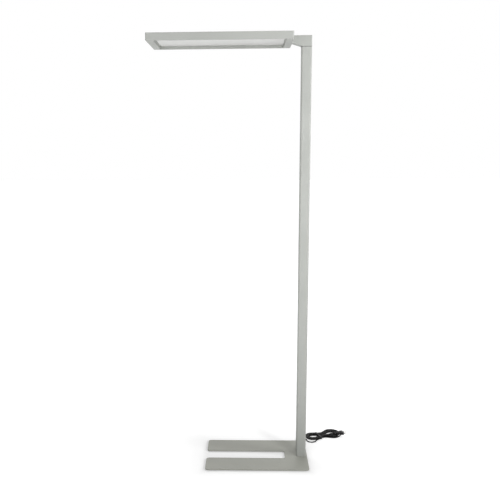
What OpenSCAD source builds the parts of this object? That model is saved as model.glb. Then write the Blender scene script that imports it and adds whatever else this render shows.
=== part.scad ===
// Office floor lamp: a square post on a U-shaped base plate carries a flat lamp head
// on a cast neck. The head sends light down through a recessed diffuser and up
// through a clear cover. The mains lead lies folded into a hank behind the post.
// Millimetres. Z is up, the head and the open side of the base point along -X, and
// the origin is on the floor under the middle of the post.

/* [Overall] */
// Height of the lamp from the floor to the top of the head
total_h = 1950; // [1700:10:2100]

/* [Base] */
// Length of the base plate along X
base_l = 485; // [440:5:560]
// Depth of the base plate along Y
base_depth = 330; // [280:5:400]
// Thickness of the base plate
base_t = 6.5; // [6:0.5:12]
// Radius of the outer corners and of the tips of the two tines
base_corner_r = 15; // [4:1:20]
// Width of the slot between the tines
slot_w = 85; // [60:1:120]
// Length of the slot from its mouth to its closed end
slot_l = 378; // [300:1:400]
// Radius at the closed end of the slot
slot_corner_r = 10; // [3:1:12]
// How far the base plate reaches past the post's right face
base_margin = 7; // [3:1:20]
// Thickness of the floor pads
pad_t = 4; // [1.5:0.5:5]
// Width of a floor pad
pad_w = 14; // [8:1:16]
// Length of the pad under each tine
pad_l = 60; // [30:5:100]
// Distance from a floor pad to the edge of the plate
pad_inset = 18; // [10:1:40]

/* [Post] */
// Side of the square post
post_w = 45; // [42:1:56]
// Radius of the post's rounded edges
post_r = 6; // [3:0.5:8]
// Wall thickness of the post extrusion
post_wall = 2.5; // [2:0.25:3.5]
// Distance from the post's faces to the middle of its screw ports
port_inset = 7.2; // [6.8:0.1:7.6]
// Outer diameter of a screw port
port_d = 10; // [9:0.5:10.5]
// Width of the slit that leaves each screw port open
port_slit = 2; // [1:0.25:3]
// Thickness of the ribs that guide the driver's carrier
rib_t = 1.4; // [1:0.1:2]
// How far the ribs stand in from the wall
rib_h = 2.5; // [1.5:0.25:3.5]
// Thread diameter of the four base screws
base_screw_d = 6; // [5:0.5:6.5]
// Head diameter of the base screws
base_screw_head_d = 12; // [10:0.5:13]
// How far the base screws reach into the post
base_screw_grip = 24; // [16:1:40]

/* [Push button] */
// Height of the push button above the floor
button_z = 1100; // [900:10:1300]
// Diameter of the button's cap
button_d = 12; // [10:0.5:13]
// Travel of the button
button_travel = 1.2; // [0.6:0.1:2]
// How far the cap stands out of its bezel at rest
button_proud = 1.8; // [1.5:0.1:3]
// Thickness of the bezel's flange
bezel_t = 1.6; // [1:0.1:2.5]
// Wall of the bezel's sleeve
bezel_wall = 1.1; // [0.8:0.1:1.5]
// Length of the bezel's sleeve inside the post's face
bezel_sleeve_l = 12.5; // [11.5:0.5:16]
// Depth of the switch body behind the sleeve
switch_depth = 12; // [8:0.5:16]

/* [Driver] */
// Height of the driver's lower end above the floor
driver_z = 330; // [200:10:600]
// Length of the driver
driver_l = 220; // [150:5:300]
// Width of the driver
driver_w = 34; // [28:1:36]
// Depth of the driver
driver_depth = 14; // [10:0.5:15]
// Thickness of the sheet that carries the driver
carrier_t = 1.5; // [1:0.1:2]
// Distance of that sheet from the post's axis
carrier_y = 6.2; // [5.5:0.1:7]

/* [Neck] */
// Height of the cast neck above its seam with the post
neck_h = 46; // [44:1:70]
// Height of the neck's arm where it leaves the post
arm_root_h = 43; // [36:1:43]
// Length of the neck's arm between the post and the head
arm_l = 40.5; // [25:0.5:80]
// Radius of the neck's upright edges, sharper than the post's
neck_r = 2.5; // [1:0.5:6]
// Radius of the fillet under the arm
arm_fillet_r = 4; // [2:0.5:4]
// Length of the spigot inside the post
spigot_l = 60; // [50:1:100]
// Diameter of the cable duct through the neck
duct_d = 14; // [10:0.5:15]
// Thread diameter of the set screws in the spigot
set_screw_d = 6; // [4:0.5:6]
// Thread diameter of the screws between head and neck
head_screw_d = 5; // [4:0.5:5]
// Spacing of those screws across the neck
head_screw_pitch_y = 30; // [28:1:32]
// Spacing of those screws in height
head_screw_pitch_z = 16; // [14:0.5:16]

/* [Head] */
// Length of the head
head_l = 620; // [500:5:900]
// Depth of the head
head_depth = 290; // [200:5:360]
// Thickness of the head
head_t = 31; // [30:0.5:36]
// Width of the end pieces' rim under the head
end_rim = 30; // [26:1:45]
// Width of the end pieces on the front and back faces
end_cap_l = 14; // [10:1:20]
// Width of the long rails' rim under the head
rail_rim = 12; // [11:0.5:20]
// Wall thickness of the long rails
rail_wall = 2; // [1.5:0.25:3]
// Wall thickness of the end pieces
cap_wall = 4; // [3:0.5:6]
// Radius of the head's upright edges
head_corner_r = 5; // [2:0.5:8]
// Depth of the recess below the diffuser
recess = 13; // [10:0.5:14]
// Width of the ledge that carries the diffuser and the cover
ledge_w = 4; // [3:0.5:6]
// Thickness of that ledge
ledge_t = 1.5; // [1:0.25:2]
// Thickness of the lower diffuser
diffuser_t = 3; // [2:0.5:4]
// Thickness of the light guide
guide_t = 4; // [3:0.5:4]
// Thickness of the reflector sheet
reflector_t = 0.6; // [0.3:0.1:1]
// Thickness of the sheet that carries the upper LED boards
tray_t = 1.5; // [1:0.25:2]
// Thickness of the clear upper cover
cover_t = 2; // [1.5:0.25:3]
// Thickness of the circuit boards
board_t = 1.2; // [0.8:0.1:1.6]
// Width of an upper LED board
board_w = 24; // [15:1:40]
// Number of upper LED boards
board_count = 3; // [1:1:5]
// Number of LEDs on a board
led_count = 16; // [6:1:30]
// Side of an LED
led_w = 3; // [2:0.5:4]
// Height of an LED
led_h = 0.8; // [0.5:0.1:1]
// Thread diameter of the screws through the end pieces
cap_screw_d = 3; // [2.5:0.5:3.5]
// Length of those screws
cap_screw_l = 30; // [20:1:40]

/* [Mains lead] */
// Diameter of the lead
cord_d = 6; // [5:0.5:7]
// Height of the lead's exit above the floor
exit_z = 30; // [24:1:60]
// Length of the tapered strain relief
gland_l = 32; // [24:1:45]
// Diameter of the gland's thread through the post's wall
gland_thread_d = 12; // [10:0.5:13]
// Turns of the lead in its hank
hank_turns = 6; // [2:2:8]
// Radius of the innermost fold at the hank's left end
left_fold_r = 18; // [18:1:30]
// Radius of the innermost fold at the hank's right end
right_fold_r = 20; // [18:1:30]
// Length of the drawn-in runs between the hank's two ends
hank_run_l = 108; // [80:2:160]
// Gap between neighbouring turns at the left end
left_turn_gap = 1; // [0.8:0.1:2]
// Gap between neighbouring turns at the looser right end
right_turn_gap = 4.4; // [0.8:0.1:6]
// Gap between neighbouring turns at the waist
waist_gap = 1.2; // [1:0.1:2]
// Gap between the hank's two layers
layer_gap = 0.5; // [0.45:0.05:1]
// Width of the tie round the hank
tie_w = 8; // [4:1:16]
// Thickness of the tie
tie_t = 0.8; // [0.5:0.1:1.5]
// Length of the plug's body without its boot
plug_l = 36; // [30:1:45]
// Width of the plug's face
plug_w = 35; // [30:1:38]
// Thickness of the plug
plug_t = 13.6; // [12:0.2:15]
// Diameter of the plug's pins
pin_d = 4; // [3.8:0.1:4.8]
// Length of the plug's pins
pin_l = 19; // [17:0.5:20]
// Distance between the plug's pins
pin_pitch = 19; // [18:0.5:20]

/* [Hidden] */
$fn = 48;

// Colours of the paint, plastics and metals
paint = [0.66, 0.67, 0.65];
bare_aluminium = [0.78, 0.79, 0.80];
steel = [0.60, 0.61, 0.62];
black = [0.06, 0.06, 0.06];
dark_grey = [0.22, 0.22, 0.23];
satin_white = [0.88, 0.88, 0.86];
board_white = [0.93, 0.93, 0.90];
led_yellow = [0.95, 0.85, 0.45];
clear = [0.85, 0.90, 0.92, 0.4];
nickel = [0.75, 0.73, 0.68];

// Clearances
slide_gap = 0.3;
fit_gap = 0.05;
hole_gap = 0.2;
tiny = 0.1;
through = 1;

// Base
plate_z = pad_t;
plate_top = plate_z + base_t;
base_right = post_w / 2 + base_margin;
base_left = base_right - base_l;
slot_end = base_left + slot_l;
tine_w = (base_depth - slot_w) / 2;
tine_y = slot_w / 2 + tine_w / 2;
port_at = post_w / 2 - port_inset;
screw_cone_h = (base_screw_head_d - base_screw_d) / 2;
socket_d = base_screw_d * 0.7;
socket_depth = screw_cone_h * 0.8;

// Post
post_top = total_h - neck_h;
post_l = post_top - plate_top;
cavity_w = post_w - 2 * post_wall;
rib_pitch = carrier_t + 2 * slide_gap + rib_t;
back_face = post_w / 2;
back_wall = back_face - post_wall;

// Push button
bezel_bore = button_d + 2 * slide_gap;
cap_flange_d = button_d + 1.2;
cap_flange_t = 1.2;
bezel_sleeve_d = cap_flange_d + 2 * slide_gap + 2 * bezel_wall;
bezel_flange_d = bezel_sleeve_d + 5;
bezel_step = 3.5;
sleeve_end = back_face - bezel_sleeve_l;
cap_flange_top = back_face - bezel_step - tiny;
cap_flange_low = cap_flange_top - cap_flange_t;
nut_t = 3;
nut_rim = 1.7;
spring_wire = 0.8;
spring_d = 8;
spring_turns = 4;
plunger_d = 4;
dish_r = 30;
dish_depth = 0.5;

// Neck and head
head_z = total_h - head_t;
head_right = -post_w / 2 - arm_l;
head_left = head_right - head_l;
head_mid = (head_left + head_right) / 2;
duct_z = head_z + head_t / 2;
arm_root_z = total_h - arm_root_h;
arm_slope = atan((head_z - arm_root_z) / arm_l);
fillet_turn = 90 - arm_slope;
fillet_run = arm_fillet_r * tan(fillet_turn / 2);
set_screw_l = 10;
set_screw_z = [post_top - spigot_l * 0.3, post_top - spigot_l * 0.75];
head_screw_grip = 12;
head_screw_head_d = head_screw_d * 1.8;
head_screw_head_t = head_screw_d * 0.7;

// Inside of the head, measured from the head's underside
floor_t = 2.5;
roof_z = head_t - cover_t;
guide_z = recess + diffuser_t;
reflector_z = guide_z + guide_t;
tray_z = reflector_z + reflector_t;
boards_z = tray_z + tray_t;
cavity_l = head_l - 2 * end_rim;
cavity_depth = head_depth - 2 * rail_rim;
rail_l = head_l - 2 * end_cap_l;
strip_h = 8;
strip_t = board_t;
strip_l = cavity_l - 20;
guide_edge_gap = 1;
guide_depth = head_depth - 2 * (rail_wall + strip_t + led_h + guide_edge_gap);
guide_l = cavity_l - 2 * slide_gap;
tray_inset = 2;
rail_port_d = 6.4;
rail_port_at = rail_wall + rail_port_d / 2 - 0.2;
cap_screw_head_d = cap_screw_d * 2;
terminal_size = [15, 16, 12];
terminal_x = 10;

// Mains lead
gland_flange_d = gland_thread_d + 6;
gland_flange_t = 2;
gland_tip_d = cord_d + 2.4;
gland_root_d = gland_thread_d + 1;
gland_rings = 5;
gland_ring_w = 2.4;
gland_inner_l = 10;
exit_y = back_face + gland_flange_t + gland_l;
tie_gap = 0.1;
cord_z1 = cord_d / 2 + tie_t + 2 * tie_gap;
cord_z2 = cord_z1 + cord_d + layer_gap;
cord_z3 = cord_z2 + cord_d + layer_gap;
hank_at = [129, 245];
hank_heading = 22;
left_step = cord_d + left_turn_gap;
right_step = cord_d + right_turn_gap;
waist_step = cord_d + waist_gap;
run_half = hank_run_l / 2;
run_turns = 0.25;
reversal = hank_turns / 2 + run_turns;
climb_from = reversal - run_turns / 2;
left_fold_out = left_fold_r + left_step * climb_from;
right_fold_out = right_fold_r + right_step * climb_from;
waist_in = cord_d / 2 + 0.35;
waist_out = waist_in + waist_step * (reversal - run_turns);
rings_per_turn = 24;
first_ring = 4;
hank_end_turn = hank_turns + run_turns;
rise_from = -12;
rise_l = 26;
tail_bend_r = 60;
tail_turn = 10;
tail_l = 42;
tail_steps = 4;
tail_drop_from = 6;
tail_drop_l = 26;
tie_right = -4 * hank_run_l / rings_per_turn - 0.5;
tie_left = tie_right - tie_w;
slant_room = 0.6;
plug_boot_l = 14;
plug_neck_d = 9;
plug_rest_gap = 0.3;
plug_z = cord_z2 + cord_d / 2 + plug_rest_gap + plug_t / 2;
sleeve_l = 10;
sleeve_d = pin_d - 0.2;
core_d = 2.5;

// Route of the free lead, chosen by hand: down from the strain relief behind the post,
// over the base plate's back edge, and round a loose loop on the floor to the hank
lead_route = [
    [0, exit_y, exit_z], [0, exit_y + 6, exit_z], [0, exit_y + 12, exit_z],
    [0, 80, 27.5], [-0.5, 92, 22.5], [-1.5, 104, 17.5], [-2.5, 117, 14.8],
    [-3, 130, 14], [-3, 143, 14], [-3, 155, 14.3], [-3, 167, 13.8], [-3.5, 178, 11],
    [-3.5, 191, 6.5], [1, 202, 4], [10, 209.5, 3.2], [22, 212.5, 3.2],
    [35.5, 207.5, 3.2], [44.5, 195.5, 3.2], [45, 180.5, 3.2], [49.5, 170, 3.2],
    [59, 162.5, 3.2], [72, 160.5, 3.2], [84.5, 166, 3.2], [91, 175, 3.4]
];

// ---------------------------------------------------------------- shared shapes

// Flat rectangle between two corners, with round corners
module round_rect(low, high, r) {
    translate([low[0] + r, low[1]])
        square([high[0] - low[0] - 2 * r, high[1] - low[1]]);
    translate([low[0], low[1] + r])
        square([high[0] - low[0], high[1] - low[1] - 2 * r]);
    for (x = [low[0] + r, high[0] - r], y = [low[1] + r, high[1] - r])
        translate([x, y]) circle(r);
}

module round_square(w, r) {
    round_rect([-w / 2, -w / 2], [w / 2, w / 2], r);
}

// Cylinder along +Y from a point
module bar_y(at, d, l) {
    translate(at) rotate([-90, 0, 0]) cylinder(d = d, h = l);
}

// Cylinder along +X from a point
module bar_x(at, d, l) {
    translate(at) rotate([0, 90, 0]) cylinder(d = d, h = l);
}

// Turned piece whose profile is drawn as radius and height along +Y
module turned_y(at) {
    translate(at) rotate([-90, 0, 0]) rotate_extrude() children();
}

function unit(v) = v / norm(v);
function ease(t) = t <= 0 ? 0 : t >= 1 ? 1 : (1 - cos(180 * t)) / 2;

// Direction of a path at one of its points
function heading(path, i) =
    unit(path[min(i + 1, len(path) - 1)] - path[max(i - 1, 0)]);

// Ring of points round a path, square to it
function ring(path, i, r, sides, reference) =
    let (
        along = heading(path, i),
        across = unit(cross(along, reference)),
        up = cross(across, along)
    )
    [for (k = [0 : sides - 1])
        path[i] + r * (cos(360 * k / sides) * across + sin(360 * k / sides) * up)];

// Round tube along a path
module tube(path, d, sides, reference = [0, 0, 1]) {
    last = len(path) - 1;
    points = [for (i = [0 : last]) each ring(path, i, d / 2, sides, reference)];
    walls = [for (i = [0 : last - 1], k = [0 : sides - 1])
        let (
            a = i * sides + k,
            b = i * sides + (k + 1) % sides
        )
        each [[a, a + sides, b], [b, a + sides, b + sides]]];
    start = [for (k = [1 : sides - 2]) [0, k, k + 1]];
    end = [for (k = [1 : sides - 2])
        [last * sides, last * sides + k + 1, last * sides + k]];
    polyhedron(points, concat(walls, start, end), convexity = 10);
}

// Smooth curve led by points, with some steps between each pair. It keeps to the first
// two and the last two points, which lie in line with the third ones.
function curve_point(a, b, c, d, t) =
    (pow(1 - t, 3) * a + (3 * pow(t, 3) - 6 * t * t + 4) * b
        + (3 * t + 3 * t * t - 3 * pow(t, 3) + 1) * c + pow(t, 3) * d) / 6;
function smooth(path, steps) =
    let (last = len(path) - 1)
    concat(
        [path[0]],
        [for (i = [1 : last - 2], s = [0 : steps - 1])
            curve_point(path[i - 1], path[i], path[i + 1], path[i + 2], s / steps)],
        [path[last - 1], path[last]]
    );

// ---------------------------------------------------------------- base

module base_outline() {
    inner_y = slot_w / 2;
    outer_y = base_depth / 2;
    round_rect([base_left, inner_y], [base_right, outer_y], base_corner_r);
    round_rect([base_left, -outer_y], [base_right, -inner_y], base_corner_r);
    round_rect([slot_end, -outer_y], [base_right, outer_y], base_corner_r);
    for (side = [-1, 1])
        scale([1, side])
            translate([slot_end - slot_corner_r, inner_y - slot_corner_r])
                difference() {
                    square(slot_corner_r + tiny);
                    circle(slot_corner_r);
                }
}

module at_ports() {
    for (x = [-port_at, port_at], y = [-port_at, port_at])
        translate([x, y, 0]) children();
}

// Countersunk screw pointing up, its head flush with the plane z = 0
module countersunk(d, head_d, l, gap) {
    cone_h = (head_d - d) / 2;
    cylinder(d1 = head_d + 2 * gap, d2 = d + 2 * gap, h = cone_h);
    cylinder(d = d + 2 * gap, h = l);
}

module base_plate() {
    color(paint)
        difference() {
            translate([0, 0, plate_z]) linear_extrude(base_t) base_outline();
            translate([0, 0, plate_z]) at_ports() {
                countersunk(base_screw_d, base_screw_head_d, base_t + through, hole_gap);
            }
        }
}

module foot_pads() {
    color(dark_grey)
        linear_extrude(pad_t) {
            round_rect([-pad_w / 2, pad_inset - base_depth / 2],
                [pad_w / 2, base_depth / 2 - pad_inset], pad_w / 2 - tiny);
            for (y = [-tine_y, tine_y])
                round_rect([base_left + pad_inset, y - pad_w / 2],
                    [base_left + pad_inset + pad_l, y + pad_w / 2], pad_w / 2 - tiny);
        }
}

module base_screws() {
    color(steel)
        translate([0, 0, plate_z]) at_ports()
            difference() {
                countersunk(base_screw_d, base_screw_head_d, base_t + base_screw_grip, 0);
                translate([0, 0, -tiny]) cylinder(d = socket_d, h = socket_depth, $fn = 6);
            }
}

// ---------------------------------------------------------------- post

module rail_ribs(gap) {
    for (side = [-1, 1], k = [-1, 1])
        translate([side * (cavity_w - rib_h) / 2, carrier_y + k * rib_pitch / 2])
            square([rib_h + 2 * gap, rib_t + 2 * gap], center = true);
}

module post_section() {
    difference() {
        union() {
            difference() {
                round_square(post_w, post_r);
                round_square(cavity_w, post_r - post_wall);
            }
            intersection() {
                round_square(post_w, post_r);
                for (x = [-port_at, port_at], y = [-port_at, port_at])
                    translate([x, y]) circle(d = port_d);
            }
            rail_ribs(0);
        }
        for (k = [0 : 3])
            rotate(90 * k) translate([port_at, port_at]) {
                circle(d = base_screw_d + 2 * fit_gap);
                rotate(225) translate([0, -port_slit / 2]) square([port_d, port_slit]);
            }
    }
}

module post_profile() {
    wall_cut = post_wall + 2 * through;
    color(paint)
        difference() {
            translate([0, 0, plate_top]) linear_extrude(post_l) post_section();
            bar_y([0, back_wall - through, exit_z], gland_thread_d + 2 * hole_gap, wall_cut);
            bar_y([0, back_wall - through, button_z], bezel_sleeve_d + 2 * hole_gap, wall_cut);
            for (z = set_screw_z)
                bar_y([0, back_wall - through, z], set_screw_d + 2 * hole_gap, wall_cut);
        }
}

module driver_carrier() {
    color(bare_aluminium)
        translate([-cavity_w / 2 + slide_gap, carrier_y - carrier_t / 2, driver_z - 20])
            cube([cavity_w - 2 * slide_gap, carrier_t, driver_l + 40]);
}

module driver() {
    front = carrier_y - carrier_t / 2 - driver_depth;
    end_l = 24;
    color(satin_white)
        translate([-driver_w / 2, front, driver_z + end_l])
            cube([driver_w, driver_depth, driver_l - 2 * end_l]);
    color(dark_grey)
        for (z = [driver_z, driver_z + driver_l - end_l])
            translate([-driver_w / 2 + 1, front + 1, z])
                cube([driver_w - 2, driver_depth - 1, end_l]);
}

module inner_leads() {
    lead_d = 5;
    front_y = -12;
    driver_y = carrier_y - carrier_t / 2 - driver_depth / 2;
    top_z = driver_z + driver_l;
    side_x = 7;
    color(satin_white) {
        tube([[0, back_face - gland_inner_l, exit_z], [0, back_face - gland_inner_l - 3, exit_z],
            [0, 3, exit_z + 3], [0, driver_y + 1, exit_z + 12], [0, driver_y, exit_z + 24],
            [0, driver_y, driver_z]], lead_d, 8, [1, 0, 0]);
        tube([[-side_x, driver_y, top_z], [-side_x, driver_y, top_z + 10],
            [-side_x, front_y, top_z + 50], [-side_x, front_y, post_top - spigot_l - 60],
            [0, 0, post_top - spigot_l - 5], [0, 0, duct_z - 14], [-1.5, 0, duct_z - 6],
            [-6, 0, duct_z - 1.5], [-14, 0, duct_z],
            [head_right - terminal_x, 0, duct_z]], lead_d, 8, [0, 1, 0]);
        tube([[0, sleeve_end - switch_depth, button_z],
            [0, sleeve_end - switch_depth - 2, button_z],
            [0, front_y + 2, button_z - 6], [0, front_y, button_z - 16],
            [0, front_y, top_z + 50], [0, driver_y, top_z + 10], [0, driver_y, top_z]],
            lead_d, 8, [1, 0, 0]);
    }
}

// ---------------------------------------------------------------- push button

module button_bezel() {
    color(nickel)
        turned_y([0, sleeve_end, button_z])
            difference() {
                union() {
                    square([bezel_sleeve_d / 2, bezel_sleeve_l]);
                    translate([0, bezel_sleeve_l]) square([bezel_flange_d / 2, bezel_t]);
                }
                translate([-through, -through])
                    square([bezel_bore / 2 + through, bezel_sleeve_l + bezel_t + 2 * through]);
                translate([-through, -through])
                    square([cap_flange_d / 2 + slide_gap + through,
                        bezel_sleeve_l - bezel_step + through]);
            }
}

module button_nut() {
    color(steel)
        turned_y([0, back_wall - nut_t, button_z])
            translate([bezel_sleeve_d / 2 + fit_gap, 0]) square([nut_rim, nut_t]);
}

module button_cap() {
    stem_l = back_face + bezel_t + button_proud - cap_flange_top;
    color(bare_aluminium)
        difference() {
            union() {
                bar_y([0, cap_flange_low, button_z], cap_flange_d, cap_flange_t);
                bar_y([0, cap_flange_top, button_z], button_d, stem_l);
            }
            translate([0, cap_flange_top + stem_l + dish_r - dish_depth, button_z])
                sphere(dish_r, $fn = 96);
        }
}

// Coil spring between the switch body and the cap
module button_spring() {
    steps = 10;
    low = sleeve_end + spring_wire / 2 + tiny;
    high = cap_flange_low - spring_wire / 2 - tiny;
    last = steps * spring_turns;
    r = spring_d / 2;
    color(steel)
        tube([for (i = [0 : last])
            [r * cos(360 * i / steps), low + (high - low) * i / last,
                button_z + r * sin(360 * i / steps)]],
            spring_wire, 6, [0, 1, 0]);
}

module switch_body() {
    tab = [0.8, 5, 3];
    color(black) {
        bar_y([0, sleeve_end - switch_depth, button_z], bezel_sleeve_d - 1, switch_depth);
        bar_y([0, sleeve_end, button_z], plunger_d,
            cap_flange_low - button_travel - slide_gap - sleeve_end);
    }
    color(nickel)
        for (side = [-1, 1])
            translate([side * 5 - tab[0] / 2, sleeve_end - switch_depth - tab[1], button_z - tab[2] / 2])
                cube(tab);
}

// ---------------------------------------------------------------- neck

// Outline of the arm seen from the front, with the fillet where it meets the post
module arm_outline() {
    corner = [-post_w / 2, arm_root_z];
    centre = corner + [-arm_fillet_r, -fillet_run];
    polygon(concat(
        [[head_right, head_z], [head_right, total_h], [0, total_h], [0, post_top],
            [-post_w / 2, post_top]],
        [for (k = [0 : 8])
            centre + arm_fillet_r * [cos(fillet_turn * k / 8), sin(fillet_turn * k / 8)]]
    ));
}

module spigot_section() {
    room = cavity_w - 2 * hole_gap;
    waist = 2 * (port_at - port_d / 2) - 2 * hole_gap;
    difference() {
        union() {
            square([room, waist], center = true);
            square([waist, room], center = true);
        }
        rail_ribs(hole_gap);
    }
}

module at_head_screws() {
    for (y = [-1, 1], z = [-1, 1])
        translate([head_right, y * head_screw_pitch_y / 2, duct_z + z * head_screw_pitch_z / 2])
            children();
}

module neck_casting() {
    color(paint)
        difference() {
            union() {
                translate([0, 0, post_top]) linear_extrude(neck_h) round_square(post_w, neck_r);
                rotate([90, 0, 0]) translate([0, 0, -post_w / 2])
                    linear_extrude(post_w) arm_outline();
                translate([0, 0, post_top - spigot_l]) linear_extrude(spigot_l + through)
                    spigot_section();
            }
            translate([0, 0, post_top - spigot_l - through])
                cylinder(d = duct_d, h = duct_z - post_top + spigot_l + through);
            bar_x([head_right - through, 0, duct_z], duct_d, through - head_right);
            translate([0, 0, duct_z]) sphere(d = duct_d);
            at_head_screws() bar_x([-through, 0, 0], head_screw_d + 2 * fit_gap,
                head_screw_grip + 2 * through);
            for (z = set_screw_z)
                bar_y([0, back_face - set_screw_l - through, z], set_screw_d + 2 * fit_gap,
                    set_screw_l + through);
        }
}

module neck_set_screws() {
    color(steel)
        for (z = set_screw_z)
            difference() {
                bar_y([0, back_face - set_screw_l, z], set_screw_d, set_screw_l - tiny);
                translate([0, back_face - 2, z]) rotate([-90, 0, 0])
                    cylinder(d = set_screw_d / 2, h = 3, $fn = 6);
            }
}

module head_screws() {
    color(steel)
        at_head_screws() {
            bar_x([-cap_wall, 0, 0], head_screw_d, cap_wall + head_screw_grip);
            difference() {
                bar_x([-cap_wall - head_screw_head_t, 0, 0], head_screw_head_d, head_screw_head_t);
                bar_x([-cap_wall - head_screw_head_t - tiny, 0, 0], head_screw_d * 0.6,
                    head_screw_head_t * 0.6);
            }
        }
}

// ---------------------------------------------------------------- head frame

// Section of a long rail: x counts inwards from its outer face, y up from its underside
module rail_section() {
    lip_t = rail_wall;
    difference() {
        union() {
            square([rail_wall, head_t]);
            square([rail_rim, rail_wall]);
            translate([rail_rim - lip_t, 0]) square([lip_t, recess]);
            translate([rail_rim - lip_t, recess - ledge_t]) square([lip_t + ledge_w, ledge_t]);
            translate([0, head_t - rail_wall]) square([rail_rim, rail_wall]);
            translate([rail_rim - lip_t, roof_z - ledge_t]) square([lip_t, head_t - roof_z + ledge_t]);
            translate([rail_rim - lip_t, roof_z - ledge_t]) square([lip_t + ledge_w, ledge_t]);
            for (y = [rail_port_at, head_t - rail_port_at])
                translate([rail_port_at, y]) circle(d = rail_port_d);
        }
        for (y = [rail_port_at, head_t - rail_port_at])
            translate([rail_port_at, y]) circle(d = cap_screw_d + 2 * fit_gap);
    }
}

// Rail from end piece to end piece, its ledges cut back beside their shoulders
module rail() {
    shoulder_l = end_rim - end_cap_l + hole_gap;
    translate([head_left + end_cap_l, -head_depth / 2, head_z])
        difference() {
            rotate([90, 0, 90]) linear_extrude(rail_l) rail_section();
            for (x = [-through, rail_l - shoulder_l])
                translate([x, rail_rim, -through])
                    cube([shoulder_l + through, ledge_w + through, head_t + 2 * through]);
        }
}

module front_rail() {
    color(paint) rail();
}

module back_rail() {
    color(paint) mirror([0, 1, 0]) rail();
}

// End piece with its outer face on the plane x = 0 and its body along +X
module end_cap() {
    half = head_depth / 2;
    inner_half = cavity_depth / 2;
    wall = floor_t;
    difference() {
        union() {
            linear_extrude(head_t)
                difference() {
                    round_rect([0, -half], [end_cap_l + head_corner_r, half], head_corner_r);
                    translate([end_cap_l, -half - through])
                        square([head_corner_r + through, 2 * half + 2 * through]);
                }
            translate([end_cap_l - tiny, -inner_half, 0])
                cube([end_rim - end_cap_l + tiny, 2 * inner_half, head_t]);
            for (z = [recess - ledge_t, roof_z - ledge_t])
                translate([end_rim - tiny, ledge_w + hole_gap - inner_half, z])
                    cube([ledge_w + tiny, 2 * (inner_half - ledge_w - hole_gap), ledge_t]);
        }
        translate([cap_wall, wall - inner_half, floor_t])
            cube([end_rim - cap_wall - wall, 2 * (inner_half - wall), head_t - 2 * floor_t]);
        translate([cap_wall, wall - inner_half, recess])
            cube([end_rim, 2 * (inner_half - wall), roof_z - ledge_t - recess]);
        for (y = [-1, 1], z = [rail_port_at, head_t - rail_port_at])
            translate([0, y * (half - rail_port_at), z]) rotate([0, 90, 0])
                countersunk(cap_screw_d, cap_screw_head_d, end_rim, hole_gap);
    }
}

module left_end_cap() {
    color(paint) translate([head_left, 0, head_z]) end_cap();
}

module right_end_cap() {
    color(paint)
        difference() {
            translate([head_right, 0, head_z]) mirror([1, 0, 0]) end_cap();
            at_head_screws() bar_x([-cap_wall - through, 0, 0], head_screw_d + 2 * hole_gap,
                cap_wall + 2 * through);
            bar_x([head_right - cap_wall - through, 0, duct_z], duct_d, cap_wall + 2 * through);
        }
}

module end_cap_screws() {
    half = head_depth / 2;
    color(steel)
        for (end = [0, 1], y = [-1, 1], z = [rail_port_at, head_t - rail_port_at])
            translate([end == 0 ? head_left : head_right, y * (half - rail_port_at), head_z + z])
                rotate([0, end == 0 ? 90 : -90, 0])
                    difference() {
                        countersunk(cap_screw_d, cap_screw_head_d, cap_screw_l, 0);
                        translate([0, 0, -tiny]) cylinder(d = cap_screw_d * 0.7, h = 1.2, $fn = 6);
                    }
}

// ---------------------------------------------------------------- inside of the head

// Flat sheet in the middle of the head, at a height above the head's underside
module sheet(l, depth, z, t) {
    translate([head_mid - l / 2, -depth / 2, head_z + z]) cube([l, depth, t]);
}

module lower_diffuser() {
    color(satin_white)
        sheet(cavity_l - 2 * slide_gap, cavity_depth - 2 * slide_gap, recess, diffuser_t);
}

module light_guide() {
    color(clear) sheet(guide_l, guide_depth, guide_z, guide_t);
}

module reflector_sheet() {
    color(satin_white) sheet(guide_l, guide_depth, reflector_z, reflector_t);
}

module edge_led_strips() {
    outer = head_depth / 2 - rail_wall;
    pitch = strip_l / (2 * led_count);
    color(board_white)
        for (side = [-1, 1])
            translate([head_mid - strip_l / 2, side * (outer - strip_t / 2) - strip_t / 2,
                head_z + guide_z - (strip_h - guide_t) / 2])
                cube([strip_l, strip_t, strip_h]);
    color(led_yellow)
        for (side = [-1, 1], k = [0 : 2 * led_count - 1])
            translate([head_mid - strip_l / 2 + (k + 0.5) * pitch - led_w / 2,
                side * (outer - strip_t - led_h / 2) - led_h / 2,
                head_z + guide_z + (guide_t - led_w) / 2])
                cube([led_w, led_h, led_w]);
}

module led_tray() {
    color(bare_aluminium)
        sheet(cavity_l - 2 * tray_inset, cavity_depth - 2 * tray_inset, tray_z, tray_t);
}

module uplight_boards() {
    board_l = cavity_l - 60;
    pitch_y = cavity_depth / board_count;
    pitch_x = board_l / led_count;
    color(board_white)
        for (k = [0 : board_count - 1])
            translate([head_mid - board_l / 2,
                (k + 0.5) * pitch_y - cavity_depth / 2 - board_w / 2, head_z + boards_z])
                cube([board_l, board_w, board_t]);
    color(led_yellow)
        for (k = [0 : board_count - 1], i = [0 : led_count - 1])
            translate([head_mid - board_l / 2 + (i + 0.5) * pitch_x - led_w / 2,
                (k + 0.5) * pitch_y - cavity_depth / 2 - led_w / 2, head_z + boards_z + board_t])
                cube([led_w, led_w, led_h]);
}

module upper_cover() {
    color(clear)
        sheet(cavity_l - 2 * slide_gap, cavity_depth - 2 * slide_gap, roof_z, cover_t);
}

module terminal_block() {
    color(board_white)
        translate([head_right - terminal_x - terminal_size[0], -terminal_size[1] / 2,
            head_z + floor_t])
            cube([terminal_size[0], terminal_size[1], duct_z - head_z - floor_t + 3]);
}

// ---------------------------------------------------------------- mains lead

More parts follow.
